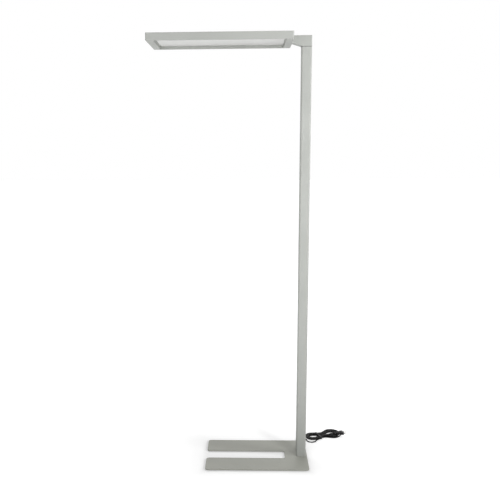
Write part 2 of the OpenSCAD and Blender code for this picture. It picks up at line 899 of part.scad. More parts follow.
// Tapered strain relief with rings, its thread through the post's wall
module cord_gland() {
    ring_pitch = gland_l / (gland_rings + 1);
    color(black)
        turned_y([0, back_face - gland_inner_l, exit_z]) {
            square([gland_thread_d / 2, gland_inner_l + tiny]);
            translate([0, gland_inner_l]) square([gland_flange_d / 2, gland_flange_t]);
            translate([0, gland_inner_l + gland_flange_t])
                polygon([[0, -tiny], [gland_root_d / 2 - 1, -tiny], [gland_root_d / 2 - 1, 0],
                    [gland_tip_d / 2 - 0.6, gland_l], [0, gland_l]]);
            for (k = [0 : gland_rings])
                translate([0, gland_inner_l + gland_flange_t + k * ring_pitch])
                    square([gland_root_d / 2 - (gland_root_d - gland_tip_d) / 2 * k / gland_rings,
                        gland_ring_w]);
        }
}

module gland_nut() {
    color(black)
        turned_y([0, back_wall - nut_t, exit_z])
            translate([gland_thread_d / 2 + fit_gap, 0]) square([3, nut_t]);
}

// Turns counted inwards from the outermost loop, in both layers
function inward(s) = min(s, 2 * reversal - s);
function waist_at(s) = waist_out - waist_step * inward(s);

// Radius of a fold: the left end is wound tight, the right end lies looser
function fold_at(s, u) = u < 0 ? left_fold_out - left_step * inward(s)
    : right_fold_out - right_step * inward(s);

// Half width of a run of the hank at a distance from its waist
function run_width(s, u) =
    waist_at(s) + (fold_at(s, u) - waist_at(s)) * (1 - cos(180 * u / run_half)) / 2;

// Place of the lead in the hank after some turns, seen from above
function left_fold(s, q) =
    -[run_half, 0] - fold_at(s, -run_half) * [cos(180 * q), sin(180 * q)];
function right_fold(s, q) =
    [run_half, 0] + fold_at(s, run_half) * [cos(180 * q), sin(180 * q)];
function hank_plan(s) =
    let (
        q = (s - floor(s)) * 4,
        out = -run_half + hank_run_l * (q - 0.5),
        back = run_half - hank_run_l * (q - 2.5)
    )
    q < 0.5 || q > 3.5 ? left_fold(s, q) :
    q < 1.5 ? [out, -run_width(s, out)] :
    q < 2.5 ? right_fold(s, q) :
    [back, run_width(s, back)];

// Turns after which a run passes a place between the hank's ends
function turn_out(u) = (0.5 + (u + run_half) / hank_run_l) / 4;
function turn_back(u) = (2.5 + (run_half - u) / hank_run_l) / 4;

function rise_at(u) = (cord_z3 - cord_z2) * ease((u - rise_from) / rise_l);
function hank_height(s, u) =
    cord_z1 + (cord_z2 - cord_z1) * ease((s - climb_from) / run_turns)
    + (s > hank_turns ? rise_at(u) : 0);

// From the hank's own frame to the lamp's
function from_hank(p) =
    [hank_at[0] + p[0] * cos(hank_heading) - p[1] * sin(hank_heading),
        hank_at[1] + p[0] * sin(hank_heading) + p[1] * cos(hank_heading), p[2]];

hank_loops = [for (i = [first_ring : floor(hank_end_turn * rings_per_turn)])
    let (
        s = i / rings_per_turn,
        p = hank_plan(s)
    )
    [p[0], p[1], hank_height(s, p[0])]];
start_way = unit(hank_loops[1] - hank_loops[0]);
hank_start = hank_loops[0] - cord_d * start_way;

// The tail leaves the waist over the looser end and rises to the plug on top of it
tail_from = hank_plan(hank_end_turn);
tail_bend = [for (i = [1 : tail_steps])
    let (
        a = tail_turn * i / tail_steps,
        p = tail_from + tail_bend_r * [sin(a), cos(a) - 1]
    )
    [p[0], p[1], cord_z2 + rise_at(p[0])]];
tail_way = [cos(tail_turn), -sin(tail_turn)];
tail_run = [for (l = [for (k = [1 : tail_steps]) k * (tail_l - cord_d) / tail_steps, tail_l])
    let (p = tail_from + tail_bend_r * [sin(tail_turn), cos(tail_turn) - 1] + l * tail_way)
    [p[0], p[1], cord_z2 + rise_at(p[0])
        + (plug_z - cord_z3) * ease((l - tail_drop_from) / tail_drop_l)]];
hank_path = concat([hank_start], hank_loops, tail_bend, tail_run);

// Least gap of the hank to itself, measured from points to the stretches between points
function to_stretch(p, a, b) =
    let (t = max(0, min(1, (p - a) * (b - a) / ((b - a) * (b - a)))))
    norm(p - a - t * (b - a));
hank_gap = min([for (i = [0 : len(hank_path) - 1], j = [0 : len(hank_path) - 2])
    if (abs(i - j - 0.5) > 8) to_stretch(hank_path[i], hank_path[j], hank_path[j + 1])]) - cord_d;
echo(least_gap_of_the_hank_to_itself_mm = hank_gap);

function path_length(p) = len(p) < 2 ? 0 : let (n = len(p) - 1)
    [for (i = 0, sum = 0; i <= n; sum = sum + (i < n ? norm(p[i + 1] - p[i]) : 0), i = i + 1) sum][n];
lead_end = [for (k = [2 : -1 : 0]) from_hank(hank_start - k * cord_d * start_way)];
lead_path = smooth(concat(lead_route, lead_end), 2);
echo(length_of_the_lead_mm = path_length(lead_path) + path_length(hank_path));

module mains_cord() {
    color(black) tube(lead_path, cord_d, 8);
}

module cord_hank() {
    color(black) tube([for (p = hank_path) from_hank(p)], cord_d, 6);
}

module in_hank() {
    translate([hank_at[0], hank_at[1], 0]) rotate(hank_heading) children();
}

module cord_tie() {
    side = cord_d / 2 + tie_gap;
    last_back = hank_turns - 1 + turn_back(tie_left);
    low = [-run_width(turn_out(tie_left), tie_left) - side - slant_room, tie_gap];
    high = [run_width(last_back, tie_left) + side + slant_room, cord_z2 + side + tie_t];
    r = cord_d / 2;
    color(dark_grey)
        in_hank() translate([tie_left, 0, 0]) rotate([90, 0, 90])
            linear_extrude(tie_w)
                difference() {
                    round_rect(low - [tie_t, 0], high + [tie_t, 0], r + tie_t);
                    round_rect(low + [0, tie_t], high - [0, tie_t], r);
                }
}

// Flat two-pin plug at the end of the tail, pointing along +X
module at_plug() {
    end = hank_path[len(hank_path) - 1];
    in_hank() translate(end) rotate(-tail_turn) children();
}

module plug_body() {
    face = plug_boot_l + plug_l;
    shoulder = plug_boot_l + plug_l * 0.62;
    color(black)
        at_plug() {
            rotate([0, 90, 0]) rotate_extrude() {
                polygon([[0, 0], [cord_d / 2 + 0.6, 0], [plug_neck_d / 2, plug_boot_l],
                    [plug_neck_d / 2, plug_boot_l + 3], [0, plug_boot_l + 3]]);
                for (k = [1 : 4])
                    translate([0, k * plug_boot_l / 5])
                        square([plug_neck_d / 2 + 0.4, plug_boot_l / 10]);
            }
            intersection() {
                translate([0, 0, -plug_t / 2]) linear_extrude(plug_t)
                    polygon([[plug_boot_l, -7], [plug_boot_l + 5, -8.5], [shoulder, -plug_w / 2],
                        [face, -plug_w / 2], [face, plug_w / 2], [shoulder, plug_w / 2],
                        [plug_boot_l + 5, 8.5], [plug_boot_l, 7]]);
                rotate([90, 0, 0]) translate([0, 0, -plug_w])
                    linear_extrude(2 * plug_w)
                        polygon([[plug_boot_l, -5], [shoulder, -plug_t / 2], [face, -plug_t / 2],
                            [face, plug_t / 2], [shoulder, plug_t / 2], [plug_boot_l, 5]]);
                translate([plug_boot_l, 0, 0]) rotate([90, 0, 90]) linear_extrude(plug_l)
                    polygon([[-plug_w / 2, -2], [-plug_w / 2, 2], [4 - plug_w / 2, plug_t / 2],
                        [plug_w / 2 - 4, plug_t / 2], [plug_w / 2, 2], [plug_w / 2, -2],
                        [plug_w / 2 - 4, -plug_t / 2], [4 - plug_w / 2, -plug_t / 2]]);
            }
            for (y = [-1, 1])
                translate([face - tiny, y * pin_pitch / 2, 0]) rotate([0, 90, 0])
                    difference() {
                        cylinder(d = sleeve_d, h = sleeve_l + tiny);
                        translate([0, 0, tiny]) cylinder(d = core_d + 2 * fit_gap, h = sleeve_l + tiny);
                    }
        }
}

module plug_pins() {
    face = plug_boot_l + plug_l;
    color(nickel)
        at_plug()
            for (y = [-1, 1])
                translate([face, y * pin_pitch / 2, 0]) rotate([0, 90, 0]) rotate_extrude() {
                    square([core_d / 2, sleeve_l + tiny]);
                    translate([0, sleeve_l]) square([pin_d / 2, pin_l - sleeve_l - pin_d / 2]);
                    translate([0, pin_l - pin_d / 2])
                        intersection() {
                            circle(d = pin_d);
                            translate([0, -tiny]) square(pin_d);
                        }
                }
}

base_plate();
foot_pads();
base_screws();
post_profile();
driver_carrier();
driver();
inner_leads();
button_bezel();
button_nut();
button_cap();
button_spring();
switch_body();
neck_casting();
neck_set_screws();
head_screws();
left_end_cap();
right_end_cap();
front_rail();
back_rail();
end_cap_screws();
lower_diffuser();
light_guide();
reflector_sheet();
edge_led_strips();
led_tray();
uplight_boards();
upper_cover();
terminal_block();
cord_gland();
gland_nut();
mains_cord();
cord_hank();
cord_tie();
plug_body();
plug_pins();
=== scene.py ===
"""Looks of an office floor lamp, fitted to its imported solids.

Metres, Z up. The head and the open side of the base point along -X, the back is +Y,
and the origin is on the floor under the middle of the post.
"""
import math

import bmesh
import bpy
from mathutils import Matrix, Vector


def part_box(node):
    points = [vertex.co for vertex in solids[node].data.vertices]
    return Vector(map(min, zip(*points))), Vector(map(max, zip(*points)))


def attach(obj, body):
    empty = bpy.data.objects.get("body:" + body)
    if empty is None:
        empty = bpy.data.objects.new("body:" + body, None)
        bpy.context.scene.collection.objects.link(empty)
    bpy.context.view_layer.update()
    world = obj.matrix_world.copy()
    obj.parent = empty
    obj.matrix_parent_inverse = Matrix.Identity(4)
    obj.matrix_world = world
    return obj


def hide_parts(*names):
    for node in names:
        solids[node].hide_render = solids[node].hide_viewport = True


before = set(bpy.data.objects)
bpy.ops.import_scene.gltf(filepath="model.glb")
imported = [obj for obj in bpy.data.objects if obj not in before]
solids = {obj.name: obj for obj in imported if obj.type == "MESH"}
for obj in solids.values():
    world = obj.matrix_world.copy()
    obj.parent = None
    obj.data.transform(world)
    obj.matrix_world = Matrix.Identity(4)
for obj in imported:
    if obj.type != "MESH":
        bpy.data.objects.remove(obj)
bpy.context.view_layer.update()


# ---- Camera
# It stands where the photograph was taken from: in front of the lamp, a little to the
# left of the post, at three quarters of its height, and looks slightly down.
camera_at = (-0.2537, -3.1898, 1.4736)
yaw, pitch, roll = (math.radians(a) for a in (-1.974, 11.03, -0.413))
picture_px = 500
focal_px = 699.0
middle_px = (224.6, 284.7)
sensor_mm = 36

ahead = Vector((math.sin(yaw) * math.cos(pitch), math.cos(yaw) * math.cos(pitch), -math.sin(pitch)))
level = Vector((math.cos(yaw), -math.sin(yaw), 0))
upward = level.cross(ahead)
rightward = level * math.cos(roll) + upward * math.sin(roll)
upward = upward * math.cos(roll) - level * math.sin(roll)

camera = bpy.data.objects.new("camera", bpy.data.cameras.new("camera"))
camera.data.sensor_width = sensor_mm
camera.data.lens = focal_px / picture_px * sensor_mm
camera.data.shift_x = 0.5 - middle_px[0] / picture_px
camera.data.shift_y = middle_px[1] / picture_px - 0.5
camera_turn = Matrix((rightward, upward, -ahead)).transposed()
camera.matrix_world = Matrix.Translation(camera_at) @ camera_turn.to_4x4()
bpy.context.scene.collection.objects.link(camera)
bpy.context.scene.camera = camera


# ---- Mains lead
# A round 6 mm lead in glossy black PVC, 2.93 m long. It comes out of the strain relief
# low on the back of the post, goes over the base plate's edge, lies in a loose S on the
# floor and is folded into a hank of six turns in two layers, its plug on top.
lead_d = 0.006
hank_at = Vector((0.129, 0.245, 0))
hank_heading = Matrix.Rotation(math.radians(22), 3, "Z")
hank_turns = 6
quarter = 0.25
reversal = hank_turns / 2 + quarter
climb_from = reversal - quarter / 2

# Inside sizes of the hank, and the steps from one turn to the next
run_l = 0.108
left_fold_r = 0.018
right_fold_r = 0.020
waist_in = lead_d / 2 + 0.00035
left_step = lead_d + 0.001
right_step = lead_d + 0.0044
waist_step = lead_d + 0.0012

# Heights of the lower layer, the upper layer and the last run that crosses over it
layer_z = (0.004, 0.0105, 0.017)
rise_from = -0.012
rise_l = 0.026

# The lead's tail, which bends a little aside and climbs to the plug
tail_bend_r = 0.060
tail_turn = math.radians(10)
tail_l = 0.042
plug_lift_from = 0.006
plug_z = 0.0206

# Free lead from the strain relief to the hank, over the edge of the base plate
lead_route = [
    (0, 0.0565, 0.030), (0, 0.0625, 0.030), (0, 0.0685, 0.030),
    (0, 0.080, 0.0275), (-0.0005, 0.092, 0.0225), (-0.0015, 0.104, 0.0175),
    (-0.0025, 0.117, 0.0148), (-0.003, 0.130, 0.014), (-0.003, 0.143, 0.014),
    (-0.003, 0.155, 0.0143), (-0.003, 0.167, 0.0138), (-0.0035, 0.178, 0.011),
    (-0.0035, 0.191, 0.0065), (0.001, 0.202, 0.004), (0.010, 0.2095, 0.0032),
    (0.022, 0.2125, 0.0032), (0.0355, 0.2075, 0.0032), (0.0445, 0.1955, 0.0032),
    (0.045, 0.1805, 0.0032), (0.0495, 0.170, 0.0032), (0.059, 0.1625, 0.0032),
    (0.072, 0.1605, 0.0032), (0.0845, 0.166, 0.0032), (0.091, 0.175, 0.0034),
]


def ease(t):
    """Share of a smooth rise, from 0 to 1."""
    return (1 - math.cos(math.pi * min(max(t, 0), 1))) / 2


def inward(s):
    """Turns wound inward so far: after the reversal the lead winds outward again."""
    return min(s, 2 * reversal - s)


def waist_at(s):
    """Distance of a run from the hank's middle line at the waist, after s turns."""
    return waist_in + waist_step * (reversal - quarter - inward(s))


def fold_at(s, u):
    """Radius of the fold on that side of the hank, after s turns."""
    if u < 0:
        return left_fold_r + left_step * (climb_from - inward(s))
    return right_fold_r + right_step * (climb_from - inward(s))


def run_width(s, u):
    """Distance of a run from the middle line at u along the hank: narrow in the middle."""
    swell = (1 - math.cos(2 * math.pi * u / run_l)) / 2
    return waist_at(s) + (fold_at(s, u) - waist_at(s)) * swell


def hank_plan(s):
    """Place of the lead in the hank after s turns, seen from above."""
    q = (s - math.floor(s)) / quarter
    half = run_l / 2
    out = -half + run_l * (q - 0.5)
    back = half - run_l * (q - 2.5)
    turn = Vector((math.cos(math.pi * q), math.sin(math.pi * q)))
    if q < 0.5 or q > 3.5:
        return Vector((-half, 0)) - fold_at(s, -half) * turn
    if q < 1.5:
        return Vector((out, -run_width(s, out)))
    if q < 2.5:
        return Vector((half, 0)) + fold_at(s, half) * turn
    return Vector((back, run_width(s, back)))


def rise_at(u):
    """Height that the last run gains where it crosses over the upper layer."""
    return (layer_z[2] - layer_z[1]) * ease((u - rise_from) / rise_l)


def hank_point(s):
    """Place of the lead in the hank after s turns, with its height."""
    p = hank_plan(s)
    z = layer_z[0] + (layer_z[1] - layer_z[0]) * ease((s - climb_from) / quarter)
    return Vector((p.x, p.y, z + (rise_at(p.x) if s > hank_turns else 0)))


def from_hank(p):
    """Place in the room of a point given along, across and above the hank."""
    return hank_at + hank_heading @ Vector(p)


def curve_point(a, b, c, d, t):
    """Point of a uniform cubic B-spline between its guide points b and c."""
    return ((1 - t) ** 3 * a + (3 * t ** 3 - 6 * t * t + 4) * b
            + (3 * t + 3 * t * t - 3 * t ** 3 + 1) * c + t ** 3 * d) / 6


steps_per_turn = 96
start_step = 1 / 24
first_turn = 1 / 6
hank_end_turn = hank_turns + quarter
hank_loops = [hank_point(i / steps_per_turn)
              for i in range(round(first_turn * steps_per_turn),
                             round(hank_end_turn * steps_per_turn) + 1)]
start_way = (hank_point(first_turn + start_step) - hank_point(first_turn)).normalized()
hank_start = hank_loops[0] - lead_d * start_way

tail_from = hank_plan(hank_end_turn)
tail_way = Vector((math.cos(tail_turn), -math.sin(tail_turn)))
bend_steps = 8
tail_steps = 12
tail = []
for i in range(1, bend_steps + 1):
    a = tail_turn * i / bend_steps
    p = tail_from + tail_bend_r * Vector((math.sin(a), math.cos(a) - 1))
    tail.append(Vector((p.x, p.y, layer_z[1] + rise_at(p.x))))
bend_end = p
for i in range(1, tail_steps + 1):
    l = tail_l * i / tail_steps
    p = bend_end + l * tail_way
    lift = (plug_z - layer_z[2]) * ease((l - plug_lift_from) / rise_l)
    tail.append(Vector((p.x, p.y, layer_z[1] + rise_at(p.x) + lift)))

# The free lead is rounded off between its points and meets the hank in line with its first run
bends = [Vector(p) for p in lead_route]
bends += [from_hank(hank_start - k * lead_d * start_way) for k in (2, 1, 0)]
steps_per_bend = 4
lead_line = [bends[0]]
for i in range(1, len(bends) - 2):
    lead_line += [curve_point(*bends[i - 1:i + 3], k / steps_per_bend) for k in range(steps_per_bend)]
lead_line += [bends[-2], bends[-1]]
lead_line += [from_hank(p) for p in hank_loops + tail]

lead_facets = 6
lead_shape = bpy.data.curves.new("mains_lead", "CURVE")
lead_shape.dimensions = "3D"
lead_shape.bevel_depth = lead_d / 2
lead_shape.bevel_resolution = lead_facets
lead_shape.use_fill_caps = True
spline = lead_shape.splines.new("POLY")
spline.points.add(len(lead_line) - 1)
for point, at in zip(spline.points, lead_line):
    point.co = (*at, 1)
spline.use_smooth = True
mains_lead = bpy.data.objects.new("mains_lead", lead_shape)
bpy.context.scene.collection.objects.link(mains_lead)


def start_finish(name, colour, roughness, metallic=0):
    """New material, even at first: what varies on it is linked over these values."""
    finish = bpy.data.materials.new(name)
    finish.use_nodes = True
    shader = finish.node_tree.nodes["Principled BSDF"]
    shader.inputs["Base Color"].default_value = (*colour, 1)
    shader.inputs["Roughness"].default_value = roughness
    shader.inputs["Metallic"].default_value = metallic
    return finish, shader


def speckle(finish, size, detail, shift=(0, 0, 0), stretch=(1, 1, 1)):
    """Fine irregular pattern with spots of about that size in metres."""
    nodes, links = finish.node_tree.nodes, finish.node_tree.links
    place = nodes.new("ShaderNodeTexCoord")
    scaling = nodes.new("ShaderNodeMapping")
    scaling.inputs["Location"].default_value = shift
    scaling.inputs["Scale"].default_value = stretch
    noise = nodes.new("ShaderNodeTexNoise")
    noise.inputs["Scale"].default_value = 1 / size
    noise.inputs["Detail"].default_value = detail
    links.new(place.outputs["Object"], scaling.inputs["Vector"])
    links.new(scaling.outputs["Vector"], noise.inputs["Vector"])
    return noise.outputs["Fac"]


# Between these two values lies nearly all of a pattern
pattern_low, pattern_high = 0.3, 0.7


def spread(finish, source, low, high, target):
    """Drives a socket from a pattern, between two values."""
    nodes, links = finish.node_tree.nodes, finish.node_tree.links
    span = nodes.new("ShaderNodeMapRange")
    span.inputs["From Min"].default_value = pattern_low
    span.inputs["From Max"].default_value = pattern_high
    span.inputs["To Min"].default_value = low
    span.inputs["To Max"].default_value = high
    links.new(source, span.inputs["Value"])
    links.new(span.outputs["Result"], target)


def tint(finish, source, dark, light):
    """Colour that wanders between two shades with a pattern."""
    nodes, links = finish.node_tree.nodes, finish.node_tree.links
    shades = nodes.new("ShaderNodeValToRGB")
    for stop, position, shade in zip(shades.color_ramp.elements, (pattern_low, pattern_high),
                                     (dark, light)):
        stop.position = position
        stop.color = (*shade, 1)
    links.new(source, shades.inputs["Fac"])
    return shades.outputs["Color"]


edge_samples = 6


def texture_skin(finish, shader, source, depth, edge_r):
    """Surface relief of a depth in metres, on edges rounded to a small radius."""
    nodes, links = finish.node_tree.nodes, finish.node_tree.links
    edge = nodes.new("ShaderNodeBevel")
    edge.samples = edge_samples
    edge.inputs["Radius"].default_value = edge_r
    relief = nodes.new("ShaderNodeBump")
    relief.inputs["Distance"].default_value = depth
    relief.inputs["Strength"].default_value = 1
    links.new(source, relief.inputs["Height"])
    links.new(edge.outputs["Normal"], relief.inputs["Normal"])
    links.new(relief.outputs["Normal"], shader.inputs["Normal"])
    return edge


def worked_finish(name, shades, shade_spots, roughness, rough_spots, grain, depth, edge_r,
                  metallic=0):
    """Finish with wandering colour and roughness and a fine grain of a depth in metres.

    Its spots and its grain are what speckle takes: a size in metres, a detail, and so on.
    """
    middle_shade = [(dark + light) / 2 for dark, light in zip(*shades)]
    finish, shader = start_finish(name, middle_shade, sum(roughness) / 2, metallic)
    finish.node_tree.links.new(tint(finish, speckle(finish, *shade_spots), *shades),
                               shader.inputs["Base Color"])
    spread(finish, speckle(finish, *rough_spots), *roughness, shader.inputs["Roughness"])
    texture_skin(finish, shader, speckle(finish, *grain), depth, edge_r)
    return finish, shader


lead_pvc, shader = worked_finish(
    "glossy_black_pvc", shades=((0.003, 0.003, 0.003), (0.006, 0.006, 0.006)), shade_spots=(0.03, 2),
    roughness=(0.20, 0.36), rough_spots=(0.011, 4, (0.3, 0, 0)),
    grain=(0.0022, 3), depth=0.000008, edge_r=0.0002)
shader.inputs["Specular IOR Level"].default_value = 0.14
lead_shape.materials.append(lead_pvc)

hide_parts("mains_cord", "cord_hank")
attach(mains_lead, "lamp")


# ---- Strap round the hank
# A strip of woven hook-and-loop tape, 8 mm wide and 0.8 mm thick, wound once round both
# layers of the hank beside its waist and pressed down on itself on top.
strap_w = 0.008
strap_t = 0.0008
strap_near_u = -run_l / 6 - 0.0005
strap_u = strap_near_u - strap_w / 2
strap_far_u = strap_near_u - strap_w
strap_side = lead_d / 2 + 0.0007
strap_low_z = 0.0001
strap_high_z = layer_z[1] + lead_d / 2 + 0.0009

# How far the outermost run on either side of the hank has turned where it enters the strap
out_turns = quarter * (0.5 + (strap_far_u + run_l / 2) / run_l)
back_turns = hank_turns - 1 + quarter * (2.5 + (run_l / 2 - strap_far_u) / run_l)
strap_low_v = -run_width(out_turns, strap_far_u) - strap_side
strap_high_v = run_width(back_turns, strap_far_u) + strap_side


def skin(name, rings):
    """Surface over rings of points, closed at both ends."""
    shell = bmesh.new()
    rows = [[shell.verts.new(p) for p in ring] for ring in rings]
    for one, two in zip(rows, rows[1:]):
        for k in range(len(one)):
            n = (k + 1) % len(one)
            shell.faces.new((one[k], one[n], two[n], two[k]))
    shell.faces.new(list(reversed(rows[0])))
    shell.faces.new(rows[-1])
    bmesh.ops.recalc_face_normals(shell, faces=shell.faces)
    mesh = bpy.data.meshes.new(name)
    shell.to_mesh(mesh)
    shell.free()
    mesh.polygons.foreach_set("use_smooth", [True] * len(mesh.polygons))
    piece = bpy.data.objects.new(name, mesh)
    bpy.context.scene.collection.objects.link(piece)
    return piece


def strap_path():
    """Line of the strap seen along the hank: once round, and a tail lapped over the top."""
    half = strap_t / 2
    r = lead_d / 2 + half
    low_v, high_v = strap_low_v - half + r, strap_high_v + half - r
    low_z, high_z = strap_low_z + half + r, strap_high_z - half - r
    start_v = 0.010
    lap = strap_t * 1.02
    lap_places = ((high_v - 0.004, lap * 0.4), (0.014, lap), (0.004, lap), (-0.004, lap),
                  (-0.009, lap + 0.0006))
    line = [Vector((start_v, high_z + r))]
    for v, z, start in ((low_v, high_z, 90), (low_v, low_z, 180), (high_v, low_z, 270),
                        (high_v, high_z, 0)):
        for turned in range(0, 91, 15):
            a = math.radians(start + turned)
            line.append(Vector((v + r * math.cos(a), z + r * math.sin(a))))
    line += [Vector((v, high_z + r + above)) for v, above in lap_places]
    return line


# Section of the tape, as shares of its width and of half its thickness
thin_edge = 0.55
strap_section = ((0.42, 1), (0.5, thin_edge), (0.5, -thin_edge), (0.42, -1), (0, -1),
                 (-0.42, -1), (-0.5, -thin_edge), (-0.5, thin_edge), (-0.42, 1), (0, 1))
strap_line = strap_path()
strap_rings = []
for i, at in enumerate(strap_line):
    before, after = strap_line[max(i - 1, 0)], strap_line[min(i + 1, len(strap_line) - 1)]
    way = (after - before).normalized()
    out = Vector((way.y, -way.x)) * strap_t / 2
    strap_rings.append([
        from_hank((strap_u + across * strap_w, at.x + out.x * side, at.y + out.y * side))
        for across, side in strap_section])
strap = skin("hank_strap", strap_rings)

tape, shader = start_finish("black_woven_tape", (0.014, 0.014, 0.015), 0.85)
shader.inputs["Sheen Weight"].default_value = 0.15
shader.inputs["Sheen Roughness"].default_value = 0.5
weave = tape.node_tree.nodes.new("ShaderNodeTexWave")
weave.inputs["Scale"].default_value = 260
weave.inputs["Distortion"].default_value = 3
weave_place = tape.node_tree.nodes.new("ShaderNodeTexCoord")
tape.node_tree.links.new(weave_place.outputs["Object"], weave.inputs["Vector"])
woven = tint(tape, weave.outputs["Fac"], (0.006, 0.006, 0.007), (0.022, 0.022, 0.024))
tape.node_tree.links.new(woven, shader.inputs["Base Color"])
texture_skin(tape, shader, weave.outputs["Fac"], depth=0.00015, edge_r=0.0002)
strap.data.materials.append(tape)
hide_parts("cord_tie")
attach(strap, "lamp")


# ---- Plug
# A flat two-pin mains plug in moulded black PVC with a ribbed boot and grip grooves. The
# pins are nickel-plated brass with insulating sleeves; the plug lies on top of the hank.
plug_l = 0.036
plug_w = 0.035
plug_t = 0.0136
boot_l = 0.014
boot_tip_r = 0.0037
boot_swell = 0.0011
boot_ribs = 5
rib_pitch = 0.0026
root_x = 0.0195
root_w = 0.0192
root_t = 0.0116
groove_count = 4
groove_pitch = 0.0032
groove_deep = 0.0006
ring_points = 48
pin_pitch = 0.019
sleeve_l = 0.010
sleeve_d = 0.0038
pin_core_d = 0.0025
face_x = boot_l + plug_l
half_w = plug_w / 2
half_t = plug_t / 2

plug_at = from_hank(tail[-1])
plug_heading = Matrix.Rotation(-tail_turn, 3, "Z") @ hank_heading


def on_plug(x, y, z):
    """Place in the room of a point given along, across and above the plug."""
    return plug_at + plug_heading @ Vector((x, y, z))


def plug_ring(x, y_reach, z_reach, square):
    """Rounded section of the plug: square 2 is an oval, higher is nearer to a box."""
    ring = []
    for k in range(ring_points):
        a = 2 * math.pi * k / ring_points
        c, s = math.cos(a), math.sin(a)
        y = y_reach * math.copysign(abs(c) ** (2 / square), c)
        z = z_reach * math.copysign(abs(s) ** (2 / square), s)
        ring.append(on_plug(x, y, z))
    return ring


def boot_rib(k):
    """Sections of one raised rib of the boot."""
    x = 0.0009 + k * rib_pitch
    r = boot_tip_r + boot_swell * k / boot_ribs
    return [(x + along, r + raised, r + raised, 2)
            for along, raised in ((0, 0), (0.0003, 0.0004), (0.0012, 0.0005), (0.0015, 0))]


def grip_groove(k):
    """Sections of one groove, where the body widens from its root to its face."""
    x = root_x + 0.0020 + k * groove_pitch
    widened = ease((x - root_x) / 0.0165)
    w = root_w / 2 + 0.0076 * widened
    t = root_t / 2 + 0.0009 * widened
    return [(x, w, t, 3.6), (x + 0.0004, w - groove_deep, t - groove_deep, 3.6),
            (x + 0.0012, w - groove_deep + 0.0001, t - groove_deep, 3.6),
            (x + 0.0016, w + 0.0002, t + 0.0001, 3.6)]


# Each section has its place, half its width, half its thickness and how square it is
plug_sections = [(0, 0.0031, 0.0031, 2), (0.0001, boot_tip_r, boot_tip_r, 2)]
for k in range(boot_ribs):
    plug_sections += boot_rib(k)
plug_sections += [(0.0138, 0.0050, 0.0047, 2), (0.0146, 0.0072, 0.0052, 2.4),
                  (0.0165, 0.0084, 0.0055, 2.8), (root_x, root_w / 2, root_t / 2, 3.2)]
for k in range(groove_count):
    plug_sections += grip_groove(k)
plug_sections += [(0.0362, half_w - 0.0001, half_t, 4.5), (0.0400, half_w, half_t, 5),
                  (face_x - 0.0012, half_w, half_t, 5),
                  (face_x - 0.0004, half_w - 0.0004, half_t - 0.0004, 5),
                  (face_x, half_w - 0.0012, half_t - 0.0012, 5)]
plug = skin("moulded_plug", [plug_ring(*section) for section in plug_sections])

plug_pvc, shader = worked_finish(
    "moulded_black_pvc", shades=((0.004, 0.004, 0.004), (0.009, 0.009, 0.009)), shade_spots=(0.012, 3),
    roughness=(0.36, 0.52), rough_spots=(0.006, 4), grain=(0.0005, 2), depth=0.00003, edge_r=0.0004)
shader.inputs["Specular IOR Level"].default_value = 0.18
plug.data.materials.append(plug_pvc)
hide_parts("plug_body")
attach(plug, "lamp")

# Outline of a pin's sleeve: place and radius, from inside the face out and back to the pin
sleeve_r = sleeve_d / 2
sleeve_points = 24
sleeve_outline = ((face_x - 0.0006, 0.0001), (face_x - 0.0006, sleeve_r + 0.0006),
                  (face_x + 0.0003, sleeve_r + 0.0002), (face_x + 0.0009, sleeve_r),
                  (face_x + sleeve_l - 0.0003, sleeve_r), (face_x + sleeve_l, sleeve_r - 0.0003),
                  (face_x + sleeve_l, pin_core_d / 2), (face_x + sleeve_l - 0.0004, pin_core_d / 2))
round_angles = [2 * math.pi * k / sleeve_points for k in range(sleeve_points)]
for name, pin_y in (("pin_sleeve_left", -pin_pitch / 2), ("pin_sleeve_right", pin_pitch / 2)):
    sleeve = skin(name, [[on_plug(x, pin_y + r * math.cos(a), r * math.sin(a)) for a in round_angles]
                         for x, r in sleeve_outline])
    sleeve.data.materials.append(plug_pvc)
    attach(sleeve, "lamp")

nickel, shader = worked_finish(
    "nickel_plate", shades=((0.52, 0.50, 0.46), (0.66, 0.64, 0.59)), shade_spots=(0.004, 3),
    roughness=(0.18, 0.34), rough_spots=(0.002, 4), grain=(0.0006, 2), depth=0.00001, edge_r=0.0003,
    metallic=1)


def finish_solid(name, finish):
    """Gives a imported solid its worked-up material."""
    mesh = solids[name].data
    mesh.materials.clear()
    mesh.materials.append(finish)


finish_solid("plug_pins", nickel)


# ---- Strain relief
# A ribbed, tapered boot in semi-matt black plastic that grips the lead. Its thread goes
# through the post's back wall and a plastic nut holds it from inside.
relief_plastic, shader = worked_finish(
    "semi_matt_black_plastic", shades=((0.012, 0.012, 0.013), (0.026, 0.026, 0.027)),
    shade_spots=(0.02, 3), roughness=(0.44, 0.60), rough_spots=(0.008, 3),
    grain=(0.0006, 2), depth=0.00004, edge_r=0.0003)
finish_solid("cord_gland", relief_plastic)
finish_solid("gland_nut", relief_plastic)


# ---- Base plate, pads and screws
# A 6.5 mm U of steel plate, powder-coated silver-grey like the rest of the lamp. It stands
# on glued black rubber pads, and four countersunk screws hold the post on it from below.
coat_rough = (0.44, 0.56)
coat_rough_size = 0.05
coat_shade_size = 0.22
flake_size = 0.0007
flake_dark = (0.9, 0.9, 0.9)
flake_light = (1, 1, 1)
peel_size = 0.0016

# Edges, told by how far the rounded normal turns from the flat one, are a little paler
worn_colour = (0.62, 0.62, 0.61, 1)
worn_share = 0.22
flat_cosine = 0.995
worn_cosine = 0.90


